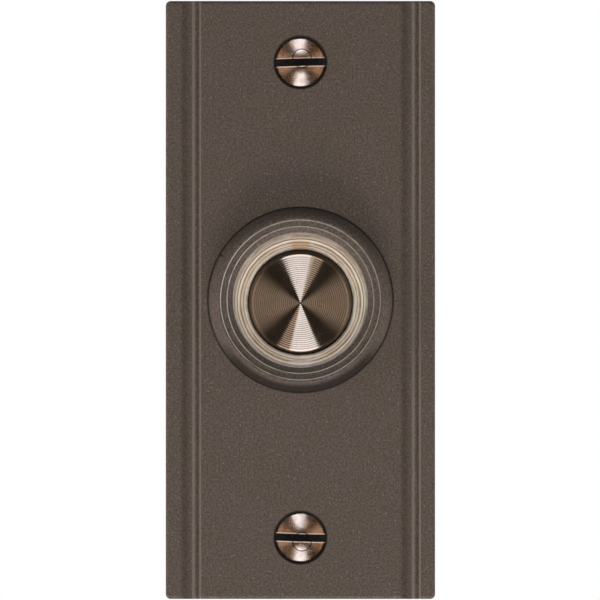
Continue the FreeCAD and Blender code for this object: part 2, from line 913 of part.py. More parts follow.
def make_return_spring():
    """Wire with six flats in half turns, each a flat arc tilted by its rise.

    The arcs meet in line with each other. Two half turns at each end are
    closed, and those between share what is left of the room."""
    closed_count, active_count, flat_count = 2, 6, 6
    radius, wire = amount("spring_radius"), amount("wire_radius")
    bottom, top = amount("spring_bottom"), amount("spring_top")
    closed_rise = amount("closed_rise")
    active_rise = (top - bottom - 2 * closed_count * closed_rise) / active_count
    closed_rises = [closed_rise] * closed_count
    rises = closed_rises + [active_rise] * active_count + closed_rises
    depth = bottom
    side = 1
    turns = []
    for rise in rises:
        out = FreeCAD.Vector(side * radius, rise / 2, 0)
        corners = []
        for number in range(flat_count + 1):
            angle = 2 * math.pi * number / flat_count
            reach = out.Length + wire * math.cos(angle)
            corners.append(FreeCAD.Vector(reach, 0, wire * math.sin(angle)))
        section = Part.Face(Part.makePolygon(corners))
        arc = section.revolve(FreeCAD.Vector(), FreeCAD.Vector(0, 0, 1), 180)
        along = FreeCAD.Vector(0, 0, side)
        turn = FreeCAD.Rotation(out, along, out.cross(along), "XYZ")
        middle = FreeCAD.Vector(0, -depth - rise / 2, 0)
        arc.Placement = FreeCAD.Placement(middle, turn)
        turns.append(arc)
        depth += rise
        side = -side
    spring = doc.addObject("Part::Feature", "return_spring")
    spring.Label = "return_spring"
    spring.Shape = turns[0].fuse(turns[1:])
    bind(spring, "Placement.Base.z", "- unit_drop")
    return spring


make_face_plate()
make_bezel_ring()
make_washer_and_nut()
make_light_ring()
make_reflector_ring()
make_board()
make_chip("led_top", "", "lamp_middle", "lamp_wide", "lamp_tall", "lamp_rise")
make_chip("led_bottom", "", "- lamp_middle", "lamp_wide", "lamp_tall", "lamp_rise")
make_chip("board_resistor", "- lamp_middle", "", "lamp_tall", "lamp_wide", "chip_rise")
make_chip("board_diode", "lamp_middle", "", "lamp_tall", "lamp_wide", "chip_rise")
make_switch_body()
make_split_ring(
    "snap_ring", "snap_inner", "snap_outer", "snap_front", "snap_back", "snap_opening"
)
for side, sign in (("left", "- "), ("right", "")):
    make_contact_rivet(side, sign)
    make_terminal_plate(side, sign)
    make_terminal_screw(side, sign)
    make_board_lead(side, sign)
make_mounting_screw("top", "screw_height", slot_tilt=1.5)
make_mounting_screw("bottom", "- screw_height", slot_tilt=-1.7)
make_button_cap()
make_plunger()
bridge = flat_ring(
    "contact_bridge", "bridge_inner", "bridge_outer", "bridge_front", "bridge_back"
)
place(bridge, z="- unit_drop")
clip = make_split_ring(
    "plunger_clip", "clip_inner", "clip_outer", "clip_front", "clip_back", "clip_opening"
)
place(clip, z="- unit_drop")
spring = make_return_spring()
doc.recompute()

problems = []
for thing in doc.Objects:
    if "Invalid" in thing.State or "Error" in thing.State:
        problems.append(f"{thing.Name} has state {thing.State}")
pieces = [thing for thing in doc.Objects if thing.TypeId == "PartDesign::Body"] + [spring]
for piece in pieces:
    shape = piece.Shape
    if shape.isNull() or not shape.isValid() or len(shape.Solids) != 1:
        problems.append(f"{piece.Label} is not one valid solid")
if problems:
    raise RuntimeError("; ".join(problems))

for piece in pieces:
    piece.Shape.Solids[0].exportStep(f"parts/{piece.Label}.step")
    print(f"{piece.Label}: {piece.Shape.Volume:.2f} cubic mm")
print(len(pieces), "pieces")
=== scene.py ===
import json
import math

import bmesh
import bpy
from mathutils import Matrix, Vector


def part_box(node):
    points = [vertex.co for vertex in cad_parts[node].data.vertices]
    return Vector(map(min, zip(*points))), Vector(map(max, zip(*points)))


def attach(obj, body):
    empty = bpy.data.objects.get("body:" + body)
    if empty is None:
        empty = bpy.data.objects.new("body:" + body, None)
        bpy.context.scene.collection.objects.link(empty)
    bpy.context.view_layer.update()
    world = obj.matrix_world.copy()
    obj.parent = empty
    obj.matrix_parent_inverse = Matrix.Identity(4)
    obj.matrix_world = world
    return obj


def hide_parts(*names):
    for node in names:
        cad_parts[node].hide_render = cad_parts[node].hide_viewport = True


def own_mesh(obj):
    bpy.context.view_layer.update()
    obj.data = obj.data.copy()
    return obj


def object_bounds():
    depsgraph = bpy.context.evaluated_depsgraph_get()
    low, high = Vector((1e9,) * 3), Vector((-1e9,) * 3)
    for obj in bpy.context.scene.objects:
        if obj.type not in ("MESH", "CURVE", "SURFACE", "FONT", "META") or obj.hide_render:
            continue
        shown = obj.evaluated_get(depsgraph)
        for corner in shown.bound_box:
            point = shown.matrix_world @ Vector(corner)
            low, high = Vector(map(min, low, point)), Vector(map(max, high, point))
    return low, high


# A lighted doorbell push button in a bronze-coated cast plate.
# Sizes below are millimetres and depths are distances in front of the wall.

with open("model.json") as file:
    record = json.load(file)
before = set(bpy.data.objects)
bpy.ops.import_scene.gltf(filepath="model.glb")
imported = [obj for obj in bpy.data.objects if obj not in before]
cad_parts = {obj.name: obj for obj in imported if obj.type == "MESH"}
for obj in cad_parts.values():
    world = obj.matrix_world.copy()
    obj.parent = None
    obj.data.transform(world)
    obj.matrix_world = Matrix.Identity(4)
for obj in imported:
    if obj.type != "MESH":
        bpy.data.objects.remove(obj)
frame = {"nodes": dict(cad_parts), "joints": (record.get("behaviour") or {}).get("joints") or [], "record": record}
cad_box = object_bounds()

MM = 0.001
SEGMENTS = 288
SMOOTH_ANGLE = math.radians(32)


def colour(red, green, blue):
    return (red, green, blue, 1.0)


# Places read from the frame


def box_mm(node):
    low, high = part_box(node)
    return low / MM, high / MM


def outer_radius(node):
    low, high = box_mm(node)
    return (high.x - low.x) / 2


def front_depth(node):
    return -box_mm(node)[0].y


def back_depth(node):
    return -box_mm(node)[1].y


def middle_height(node):
    low, high = box_mm(node)
    return (low.z + high.z) / 2


FACE = front_depth("face_plate")
UNIT_HEIGHT = middle_height("button_cap")
SCREW_HEIGHT = middle_height("mounting_screw_top")

# The bronze coat, dark and pale in two tones, and what lies on it
OLIVE = (colour(0.075, 0.058, 0.044), colour(0.139, 0.110, 0.086))
BROWN = (colour(0.081, 0.059, 0.049), colour(0.145, 0.110, 0.095))
COAT_SPECK = colour(0.29, 0.25, 0.195)
COAT_SCRATCH = colour(0.20, 0.17, 0.15)
SCRATCH_SLANT = 0.55
MOULDING_SHADE = colour(0.040, 0.031, 0.024)
SLOPE_SHADE = colour(0.021, 0.016, 0.013)
MOULDING_HIGHLIGHT = colour(0.235, 0.195, 0.165)
BARE_METAL = colour(0.68, 0.62, 0.55)
LIT_TURN = -150.0
FOOT_SHADOW = colour(0.010, 0.008, 0.007)
RECESS_SHADE = colour(0.012, 0.008, 0.006)
RIM_SHADE = colour(0.018, 0.015, 0.012)

# Bands across a side moulding: edges from its middle, share and colour. Painted shade darkens it where it is sunk,
# and painted highlights run pale along its two crests
MOULDING_MIDDLE = 15.54
MOULDING_BANDS = (
    ((-1.60, -0.95, -0.80, 0.15), 0.45, MOULDING_SHADE),
    ((0.62, 0.80, 1.08, 1.22), 0.22, MOULDING_SHADE),
    ((0.10, 0.35, 0.52, 0.70), 0.52, MOULDING_HIGHLIGHT),
    ((1.20, 1.30, 1.42, 1.55), 0.58, MOULDING_HIGHLIGHT),
)

# Radii of the painted shadow in the corner round the domed ring's foot, and of the painted shade on the slope
# above it
FOOT_BAND = (12.90, 13.02, 13.12, 13.27)
SLOPE_BAND = (11.45, 12.45, 13.30, 13.40)

# Lines round the clear ring: radius, half width, share. The pale lines are painted highlights
BEAD_PITCH = 0.42
BEAD_HEIGHT = 0.045
PALE_LINES = ((7.86, 0.13, 0.9), (8.22, 0.11, 0.8), (8.75, 0.18, 0.95), (9.10, 0.22, 1.0))
DARK_LINES = ((8.05, 0.10, 0.40), (8.47, 0.11, 0.85), (8.93, 0.08, 0.30))

# The clear ring's tones and the bright ring's, each dark and pale, and the half widths in degrees of what the two
# lamps have yellowed and of the painted reflection below
RING_TONE = (colour(0.42, 0.26, 0.13), colour(1.0, 0.85, 0.70))
AMBER_TONE = (colour(0.42, 0.20, 0.05), colour(0.72, 0.45, 0.20))
GREEN_TONE = (colour(0.30, 0.30, 0.13), colour(0.80, 0.82, 0.62))
LOW_REFLECTION = colour(1.0, 0.84, 0.77)
TOP_LAMP_HALF = 12.0
LOW_LAMP_HALF = 8.0
REFLECTION_HALF = 13.0
LOW_LAMP_RADIUS = 8.22
BRASS_TONE = (colour(0.50, 0.34, 0.18), colour(0.90, 0.78, 0.60))

# Turned grooves in the cap's face, each with a long and a short side. The cap
# hangs down a little in its play, which shows at the front
CAP_EDGE = 0.52
CAP_LEAN = 0.12
GROOVE_PITCH = 0.29
GROOVE_DEPTH = 0.063
LONG_SIDE = 0.196
BRONZE_TONE = (colour(0.39, 0.272, 0.180), colour(0.45, 0.308, 0.215))
BRONZE_FLECK = colour(0.24, 0.15, 0.07)
BRONZE_TROUGH_SHADE = colour(0.090, 0.060, 0.030)
BRONZE_RIM_HIGHLIGHT = colour(0.66, 0.45, 0.29)
SIDE_TONE = (colour(0.14, 0.100, 0.068), colour(0.21, 0.155, 0.110))
SIDE_SHADE = colour(0.035, 0.027, 0.018)

# The screws' slots, which slant alike once mirrored, and a turned mark on the
# heads, off their middle
SLOT_WIDTH = 1.05
SLOT_SLANT = 0.028
MARK_SIDE = 0.22
MARK_RISE = 0.55
MARK_RADIUS = 1.30
COPPER_TONE = (colour(0.56, 0.265, 0.115), colour(0.74, 0.39, 0.21))
COPPER_FLECK = colour(0.24, 0.105, 0.045)
COPPER_PINK = colour(0.84, 0.58, 0.47)
COPPER_HIGHLIGHT = colour(0.51, 0.37, 0.265)
COPPER_RUBBED_LIT = colour(0.90, 0.68, 0.58)
MARK_DARK = colour(0.12, 0.06, 0.04)
MARK_PALE = colour(0.90, 0.70, 0.60)
SLOT_TONE = (colour(0.006, 0.006, 0.006), colour(0.03, 0.022, 0.018))


# Node materials


class Finish:
    """A material and short names for the nodes that make it."""

    def __init__(self, name):
        self.material = bpy.data.materials.new(name)
        self.material.use_nodes = True
        self.tree = self.material.node_tree
        self.shader = self.tree.nodes["Principled BSDF"]
        coordinates = self.tree.nodes.new("ShaderNodeTexCoord")
        self.place = coordinates.outputs["Object"]

    def put(self, socket, value):
        if isinstance(value, bpy.types.NodeSocket):
            self.tree.links.new(value, socket)
        else:
            socket.default_value = value

    def node(self, kind, inputs, **settings):
        node = self.tree.nodes.new("ShaderNode" + kind)
        for key, value in settings.items():
            setattr(node, key, value)
        for key, value in inputs.items():
            self.put(node.inputs[key], value)
        return node

    def sums(self, operation, first, second=0.0, third=0.0):
        inputs = {0: first, 1: second, 2: third}
        return self.node("Math", inputs, operation=operation).outputs[0]

    def between(self, value, low, high, start=0.0, end=1.0):
        inputs = {"Value": value, "From Min": low, "From Max": high}
        inputs |= {"To Min": start, "To Max": end}
        node = self.node("MapRange", inputs, interpolation_type="SMOOTHSTEP")
        return node.outputs["Result"]

    def noise(self, size, detail=3.0, rough=0.6, place=None, stretch=(1, 1, 1)):
        """Noise whose patches are about size millimetres across."""
        vector = self.node(
            "Mapping", {"Vector": place or self.place, "Scale": stretch}
        ).outputs[0]
        inputs = {"Vector": vector, "Scale": 1 / (size * MM)}
        inputs |= {"Detail": detail, "Roughness": rough}
        return self.node("TexNoise", inputs).outputs[0]

    def specks(self, size, low, high):
        """Round specks, one in each cell whose own number is high enough."""
        inputs = {"Vector": self.place, "Scale": 1 / (size * MM)}
        cells = self.node("TexVoronoi", inputs)
        near = self.between(cells.outputs["Distance"], high, low)
        chosen = self.node("SeparateColor", {0: cells.outputs["Color"]}).outputs[0]
        return self.sums("MULTIPLY", near, self.between(chosen, 0.72, 0.86))

    def mix(self, share, first, second):
        node = self.node("Mix", {0: share, 6: first, 7: second}, data_type="RGBA")
        return node.outputs[2]

    def axes(self):
        return self.node("SeparateXYZ", {0: self.place}).outputs

    def radius(self, centre_x=0.0, centre_z=0.0, mirrored=False):
        """The distance in millimetres from an axis that runs along Y."""
        x, _, z = self.axes()
        if mirrored:
            z = self.sums("ABSOLUTE", z)
        across = self.sums("SUBTRACT", x, centre_x * MM)
        up = self.sums("SUBTRACT", z, centre_z * MM)
        squares = self.sums("MULTIPLY_ADD", up, up, self.sums("MULTIPLY", across, across))
        return self.sums("DIVIDE", self.sums("SQRT", squares), MM)

    def turned(self, centre_z=0.0):
        """The turn in degrees from straight up, clockwise seen from the front."""
        x, _, z = self.axes()
        up = self.sums("SUBTRACT", z, centre_z * MM)
        return self.sums("DEGREES", self.sums("ARCTAN2", x, up))

    def ring_line(self, radius, middle, width):
        """1 on a thin ring about the axis, fading to 0 beside it."""
        away = self.sums("ABSOLUTE", self.sums("SUBTRACT", radius, middle))
        return self.between(away, width, width * 0.25)

    def band(self, value, edges, share):
        """share within a band given by its four edges, fading to 0 outside it."""
        first, second, third, last = edges
        inside = self.between(value, first, second, 0.0, share)
        return self.sums("MULTIPLY", inside, self.between(value, last, third))

    def bump(self, height, depth, strength):
        inputs = {"Height": height, "Distance": depth * MM, "Strength": strength}
        self.put(self.shader.inputs["Normal"], self.node("Bump", inputs).outputs[0])

    def set(self, **values):
        for key, value in values.items():
            label = key.replace("_", " ").title().replace("Ior", "IOR")
            self.put(self.shader.inputs[label], value)


def coat_colour(finish):
    """Dark bronze with a fine speckle, in cloudy patches of olive and brown."""
    grain = finish.between(finish.noise(0.29, 3.0, 0.8), 0.37, 0.63)
    cloud = finish.between(finish.noise(4.5, 3.0, 0.6), 0.30, 0.70)
    shade = finish.mix(cloud, finish.mix(grain, *OLIVE), finish.mix(grain, *BROWN))
    pale = finish.sums("MULTIPLY", finish.specks(0.42, 0.10, 0.34), 0.50)
    return finish.mix(pale, shade, COAT_SPECK), grain


def scratches(finish, shade):
    """Fine slanting scratches, in patches."""
    x, _, z = finish.axes()
    slanted = finish.sums("MULTIPLY_ADD", z, SCRATCH_SLANT, x)
    along = finish.node("CombineXYZ", {0: slanted, 1: 0.0, 2: 0.0}).outputs[0]
    line = finish.between(finish.noise(0.35, 1.0, 0.5, place=along), 0.71, 0.76)
    patch = finish.between(finish.noise(6.0, 2.0, 0.5), 0.60, 0.72)
    scratch = finish.sums("MULTIPLY", line, patch)
    return finish.mix(finish.sums("MULTIPLY", scratch, 0.5), shade, COAT_SCRATCH)


def ring_shade(finish, shade, depth):
    """Paints shade on the domed ring's slope, more towards its low end and none at the sides, where the side lamps
    light it, and paints a shadow in the corner round its foot."""
    turn = finish.sums("RADIANS", finish.turned())
    low = finish.between(finish.sums("COSINE", turn), 1.0, -1.0, 0.34, 0.95)
    sideways = finish.sums("ABSOLUTE", finish.sums("SINE", turn))
    lit_sides = finish.between(sideways, 0.70, 0.97)
    painted_shade = finish.sums("MULTIPLY", low, finish.sums("SUBTRACT", 1.0, lit_sides))
    # Painted shade on the slope, left off at the sides
    slope = finish.band(finish.radius(), SLOPE_BAND, 1.0)
    slope = finish.sums("MULTIPLY", slope, finish.between(depth, FACE + 0.04, FACE + 0.12))
    shade = finish.mix(finish.sums("MULTIPLY", slope, painted_shade), shade, SLOPE_SHADE)
    # A painted contact shadow in the corner round the foot
    foot = finish.band(finish.radius(), FOOT_BAND, 0.8)
    near = finish.sums("MULTIPLY", foot, finish.between(depth, FACE + 1.6, FACE + 0.6))
    return finish.mix(near, shade, FOOT_SHADOW)


def screw_shade(finish, shade, depth):
    """Painted shade in both countersinks and in a ring on the face close round them."""
    round_screw = finish.radius(centre_z=SCREW_HEIGHT, mirrored=True)
    # Painted shade in the countersinks
    sunk = finish.between(depth, FACE - 0.02, FACE - 0.16)
    recess = finish.sums("MULTIPLY", sunk, finish.between(round_screw, 3.95, 3.82))
    shade = finish.mix(recess, shade, RECESS_SHADE)
    # A painted shadow ring on the face round each head
    rim = finish.between(round_screw, 3.92, 3.76, 0.0, 0.8)
    return finish.mix(rim, shade, RIM_SHADE)


def bronze_coat():
    finish = Finish("bronze_coat")
    shade, grain = coat_colour(finish)
    shade = scratches(finish, shade)
    x, y, _ = finish.axes()
    across = finish.sums("DIVIDE", x, MM)
    depth = finish.sums("DIVIDE", y, -MM)
    # Painted shade and painted highlights on both side mouldings
    for middle in (-MOULDING_MIDDLE, MOULDING_MIDDLE):
        from_middle = finish.sums("SUBTRACT", across, middle)
        for edges, share, tone in MOULDING_BANDS:
            shade = finish.mix(finish.band(from_middle, edges, share), shade, tone)
    shade = ring_shade(finish, shade, depth)
    shade = screw_shade(finish, shade, depth)
    finish.set(base_color=shade, metallic=0.0, specular_ior_level=0.14)
    finish.set(roughness=finish.between(grain, 0.0, 1.0, 0.56, 0.44))
    finish.bump(grain, 0.012, 0.45)
    return finish.material


def worn_and_lit_edge():
    """Corners where the coat has rubbed through to pale metal in places, paler low at the left as a painted
    highlight where more light falls."""
    finish = Finish("worn_and_lit_edge")
    shade, grain = coat_colour(finish)
    # A painted highlight: the pale metal shows most low at the left
    from_worn = finish.sums("SUBTRACT", finish.turned(), LIT_TURN)
    low_left = finish.sums("COSINE", finish.sums("RADIANS", from_worn))
    lit_side = finish.between(low_left, -0.9, 0.9, 0.28, 1.0)
    rubbed = finish.between(finish.noise(1.6, 3.0, 0.6), 0.30, 0.54, 0.45, 1.0)
    rubbed = finish.sums("MULTIPLY", rubbed, lit_side)
    finish.set(base_color=finish.mix(rubbed, shade, BARE_METAL))
    finish.set(metallic=0.1, roughness=0.42)
    finish.bump(grain, 0.010, 0.4)
    return finish.material


def aged_copper():
    """Worn copper: brown in the hollows and pink where rubbed, paler along the middle as a painted highlight, and
    pale and matt along the slot, partly rubbed and partly a painted highlight, with a turned mark."""
    finish = Finish("aged_copper")
    cloud = finish.noise(1.3, 5.0, 0.62)
    fine = finish.noise(0.30, 3.0, 0.6)
    shade = finish.mix(finish.between(cloud, 0.38, 0.60), *COPPER_TONE)
    shade = finish.mix(finish.between(fine, 0.54, 0.70, 0.0, 0.42), shade, COPPER_FLECK)
    pink = finish.between(finish.noise(0.8, 4.0, 0.6, stretch=(1, 1, 2.0)), 0.45, 0.58)
    shade = finish.mix(finish.sums("MULTIPLY", pink, 0.42), shade, COPPER_PINK)
    x, _, z = finish.axes()
    up = finish.sums("SUBTRACT", finish.sums("ABSOLUTE", z), SCREW_HEIGHT * MM)
    from_slot = finish.sums("ABSOLUTE", finish.sums("MULTIPLY_ADD", x, -SLOT_SLANT, up))
    from_slot = finish.sums("DIVIDE", from_slot, MM)
    across = finish.sums("ABSOLUTE", finish.sums("DIVIDE", x, MM))
    # A painted highlight: paler colour along the head's middle, where the lamps' highlight falls
    polished = finish.between(across, 1.45, 0.70, 0.0, 0.80)
    polished = finish.sums("MULTIPLY", polished, finish.between(from_slot, 0.9, 1.5))
    shade = finish.mix(polished, shade, COPPER_HIGHLIGHT)
    # Pale rubbed metal along the slot edges, made matt below, so that it also paints in the highlight these edges
    # catch
    rubbed = finish.ring_line(from_slot, SLOT_WIDTH / 2 + 0.07, 0.13)
    shade = finish.mix(finish.sums("MULTIPLY", rubbed, 0.65), shade, COPPER_RUBBED_LIT)
    mark_height = SCREW_HEIGHT + MARK_RISE
    radius = finish.radius(centre_x=MARK_SIDE, centre_z=mark_height, mirrored=True)
    mark = finish.ring_line(radius, MARK_RADIUS, 0.16)
    groove = finish.ring_line(radius, MARK_RADIUS - 0.20, 0.12)
    shade = finish.mix(finish.sums("MULTIPLY", mark, 0.8), shade, MARK_DARK)
    shade = finish.mix(finish.sums("MULTIPLY", groove, 0.5), shade, MARK_PALE)
    finish.set(base_color=shade, metallic=finish.between(rubbed, 0.0, 1.0, 1.0, 0.35))
    finish.set(roughness=finish.between(cloud, 0.35, 0.65, 0.30, 0.18))
    height = finish.sums("MULTIPLY_ADD", fine, 0.5, finish.sums("MULTIPLY", cloud, 0.9))
    finish.bump(finish.sums("SUBTRACT", height, mark), 0.006, 0.6)
    return finish.material


def slot_dark():
    # Near-black sides and floor of the slot, uneven in patches
    finish = Finish("slot_dark")
    dust = finish.between(finish.noise(0.3, 4.0, 0.6), 0.4, 0.8)
    finish.set(base_color=finish.mix(dust, *SLOT_TONE), metallic=0.2, roughness=0.7)
    finish.bump(dust, 0.02, 0.5)
    return finish.material


def grooved_bronze():
    """Turned metal: the grooves are in the mesh, and here their troughs get painted shade and the rim a painted
    highlight."""
    finish = Finish("grooved_bronze")
    radius = finish.radius(centre_z=UNIT_HEIGHT - CAP_LEAN)
    tone = finish.between(finish.noise(3.2, 3.0, 0.5), 0.35, 0.65)
    fleck = finish.between(finish.noise(0.35, 3.0, 0.6), 0.56, 0.72, 0.0, 0.45)
    shade = finish.mix(fleck, finish.mix(tone, *BRONZE_TONE), BRONZE_FLECK)
    inward = finish.sums("SUBTRACT", outer_radius("button_cap") - CAP_EDGE, radius)
    wave = finish.sums("COSINE", finish.sums("MULTIPLY", inward, 2 * math.pi / GROOVE_PITCH))
    # Painted shade in the groove troughs
    trough_shade = finish.between(wave, 0.30, 0.95, 0.0, 0.72)
    shade = finish.mix(trough_shade, shade, BRONZE_TROUGH_SHADE)
    # A painted highlight round the rim of the face
    rim = finish.ring_line(inward, 0.0, 0.14)
    shade = finish.mix(finish.sums("MULTIPLY", rim, 0.9), shade, BRONZE_RIM_HIGHLIGHT)
    finish.set(base_color=shade, metallic=1.0)
    finish.set(roughness=finish.between(tone, 0.0, 1.0, 0.08, 0.11))
    finish.bump(tone, 0.002, 0.3)
    return finish.material


def cap_side():
    """The cap's bevel and skirt, brown and less polished than its face, with painted shade above and below, where
    the side lamps light it least."""
    finish = Finish("cap_side")
    tone = finish.between(finish.noise(0.8, 4.0, 0.6), 0.35, 0.65)
    turn = finish.sums("RADIANS", finish.turned(UNIT_HEIGHT))
    upright = finish.sums("ABSOLUTE", finish.sums("COSINE", turn))
    # Painted shade above and below
    upright_shade = finish.between(upright, 0.35, 0.85, 0.0, 0.80)
    finish.set(base_color=finish.mix(upright_shade, finish.mix(tone, *SIDE_TONE), SIDE_SHADE))
    finish.set(metallic=0.2, roughness=0.5, specular_ior_level=0.2)
    finish.bump(tone, 0.006, 0.5)
    return finish.material


def ring_tone(finish, radius):
    """Pale and brown lines round the ring, each wandering along its length; the pale ones are painted highlights
    where the turned lines catch the light.
    """
    turn = finish.sums("RADIANS", finish.turned(UNIT_HEIGHT))
    place = {
        0: finish.sums("MULTIPLY", radius, 2.2 * MM),
        1: finish.sums("MULTIPLY", finish.sums("SINE", turn), 4 * MM),
        2: finish.sums("MULTIPLY", finish.sums("COSINE", turn), 4 * MM),
    }
    along = finish.node("CombineXYZ", place).outputs[0]
    tone = finish.between(finish.noise(1.1, 4.0, 0.7, place=along), 0.36, 0.66, 0.40, 0.82)
    for middle, width, share in DARK_LINES:
        line = finish.ring_line(radius, middle, width)
        tone = finish.sums("MULTIPLY", tone, finish.between(line, 0.0, 1.0, 1.0, 1 - share))
    # Painted highlights: the pale lines
    for middle, width, share in PALE_LINES:
        line = finish.ring_line(radius, middle, width)
        tone = finish.sums("MAXIMUM", tone, finish.sums("MULTIPLY", line, share))
    return tone


def beside(finish, turn, middle, half):
    """1 near one turn about the axis, fading to 0 at half degrees to each side."""
    from_middle = finish.sums("SUBTRACT", finish.sums("ABSOLUTE", turn), middle)
    return finish.between(finish.sums("ABSOLUTE", from_middle), half, half * 0.5)


def clear_acrylic():
    """Clear moulding, clouded and pale where its turned lines catch the light, as painted highlights. It has
    yellowed by the two lamps, above and below, carries a painted reflection of the low light at the bottom, and is
    greener at the right."""
    finish = Finish("clear_acrylic")
    radius = finish.radius(centre_z=UNIT_HEIGHT)
    turn = finish.turned(UNIT_HEIGHT)
    tone = ring_tone(finish, radius)
    lamp = finish.sums("MULTIPLY", beside(finish, turn, 0.0, TOP_LAMP_HALF), 0.75)
    lamp = finish.sums("MULTIPLY", lamp, finish.between(radius, 8.75, 8.45, 0.20, 1.0))
    low_lamp = finish.sums("MULTIPLY", beside(finish, turn, 180.0, LOW_LAMP_HALF), 0.60)
    low_line = finish.ring_line(radius, LOW_LAMP_RADIUS, 0.16)
    low_lamp = finish.sums("MULTIPLY", low_lamp, low_line)
    yellowed = finish.sums("MAXIMUM", lamp, low_lamp)
    amber = finish.mix(tone, *AMBER_TONE)
    shade = finish.mix(yellowed, finish.mix(tone, *RING_TONE), amber)
    # A painted reflection of the low light, pale at the bottom of the ring
    pale = finish.between(radius, 8.25, 8.50, 0.0, 0.75)
    pale = finish.sums("MULTIPLY", beside(finish, turn, 180.0, REFLECTION_HALF), pale)
    shade = finish.mix(pale, shade, LOW_REFLECTION)
    side = finish.sums("SINE", finish.sums("RADIANS", turn))
    green = finish.sums("MULTIPLY", finish.between(side, 0.90, 0.99), 0.35)
    shade = finish.mix(green, shade, finish.mix(tone, *GREEN_TONE))
    finish.set(base_color=shade, ior=1.49)
    finish.set(transmission_weight=finish.between(tone, 0.0, 1.0, 0.35, 0.06))
    finish.set(roughness=finish.between(tone, 0.0, 1.0, 0.12, 0.07))
    finish.bump(tone, 0.020, 0.5)
    return finish.material


def bright_brass():
    finish = Finish("bright_brass")
    tone = ring_tone(finish, finish.radius(centre_z=UNIT_HEIGHT))
    finish.set(base_color=finish.mix(tone, *BRASS_TONE), metallic=0.55, roughness=0.30)
    finish.bump(tone, 0.010, 0.5)
    return finish.material


def metal(name, low, high, roughness, patch=1.5, metallic=1.0, depth=0.006):
    """Plain metal with a slightly uneven colour and a fine grain."""
    finish = Finish(name)
    tone = finish.between(finish.noise(patch, 4.0, 0.6), 0.35, 0.65)
    grain = finish.noise(0.12, 2.0, 0.6)
    finish.set(base_color=finish.mix(tone, colour(*low), colour(*high)))
    finish.set(metallic=metallic)
    finish.set(roughness=finish.between(grain, 0.3, 0.7, roughness * 0.8, roughness * 1.2))
    finish.bump(grain, depth, 0.5)
    return finish.material


def moulded(name, low, high, roughness):
    """Moulded or fired material with a fine matt skin."""
    return metal(name, low, high, roughness, patch=2.5, metallic=0.0, depth=0.01)


FINISHES = {
    "bronze_coat": bronze_coat(),
    "worn_and_lit_edge": worn_and_lit_edge(),
    "aged_copper": aged_copper(),
    "slot_dark": slot_dark(),
    "grooved_bronze": grooved_bronze(),
    "clear_acrylic": clear_acrylic(),
    "cap_side": cap_side(),
    "bright_brass": bright_brass(),
    "copper": metal("copper", (0.70, 0.38, 0.24), (0.82, 0.50, 0.34), 0.26),
    "plated_steel": metal("plated_steel", (0.52, 0.52, 0.50), (0.70, 0.70, 0.66), 0.34),
    "spring_steel": metal("spring_steel", (0.42, 0.42, 0.43), (0.58, 0.58, 0.59), 0.28),
    "tinned_copper": metal("tinned_copper", (0.66, 0.66, 0.67), (0.80, 0.80, 0.81), 0.30),
    "board_green": moulded("board_green", (0.02, 0.13, 0.05), (0.04, 0.19, 0.08), 0.35),
    "lamp_lens": moulded("lamp_lens", (0.42, 0.20, 0.07), (0.62, 0.36, 0.15), 0.18),
    "chip_ceramic": moulded("chip_ceramic", (0.03, 0.03, 0.035), (0.07, 0.07, 0.08), 0.4),
    "chip_black": moulded("chip_black", (0.012, 0.012, 0.012), (0.03, 0.03, 0.03), 0.5),
    "black_nylon": moulded("black_nylon", (0.014, 0.014, 0.015), (0.03, 0.03, 0.032), 0.48),
    "white_nylon": moulded("white_nylon", (0.66, 0.64, 0.58), (0.78, 0.76, 0.70), 0.42),
}


# Turned pieces

# Steps in a turn of a thread, and the inverse of the share of its length over
# which it rises at each end
RIDGE_STEPS = 48
RIDGE_ENDS = 8


def arc(start, end, radius, steps):
    """Points between two corners, on an arc that bulges to the right of the way."""
    start, end = Vector(start), Vector(end)
    chord = end - start
    away = Vector((chord.y, -chord.x)).normalized()
    drop = math.sqrt(radius**2 - (chord.length / 2) ** 2)
    centre = (start + end) / 2 - away * drop
    first = math.atan2(*(start - centre).yx)
    sweep = math.atan2(*(end - centre).yx) - first
    sweep = (sweep + math.pi) % (2 * math.pi) - math.pi
    angles = [first + sweep * step / steps for step in range(1, steps)]
    return [centre + radius * Vector((math.cos(a), math.sin(a))) for a in angles]


def eased(corners, steps=4):
    """Corners (radius, depth, ease, side finish) with each one rounded by its ease."""
    points = []
    for number, (radius, depth, ease, side) in enumerate(corners):
        here = Vector((radius, depth))
        before_side = corners[number - 1][3]
        if not ease:
            points.append((radius, depth, side))
            continue
        before = Vector(corners[number - 1][:2]) - here
        after = Vector(corners[(number + 1) % len(corners)][:2]) - here
        reach = min(ease, before.length * 0.45, after.length * 0.45)
        start = here + before.normalized() * reach
        end = here + after.normalized() * reach
        for step in range(steps + 1):
            t = step / steps
            spot = start * (1 - t) ** 2 + here * (2 * t * (1 - t)) + end * t**2
            points.append((spot.x, spot.y, side if step == steps else before_side))
    return points


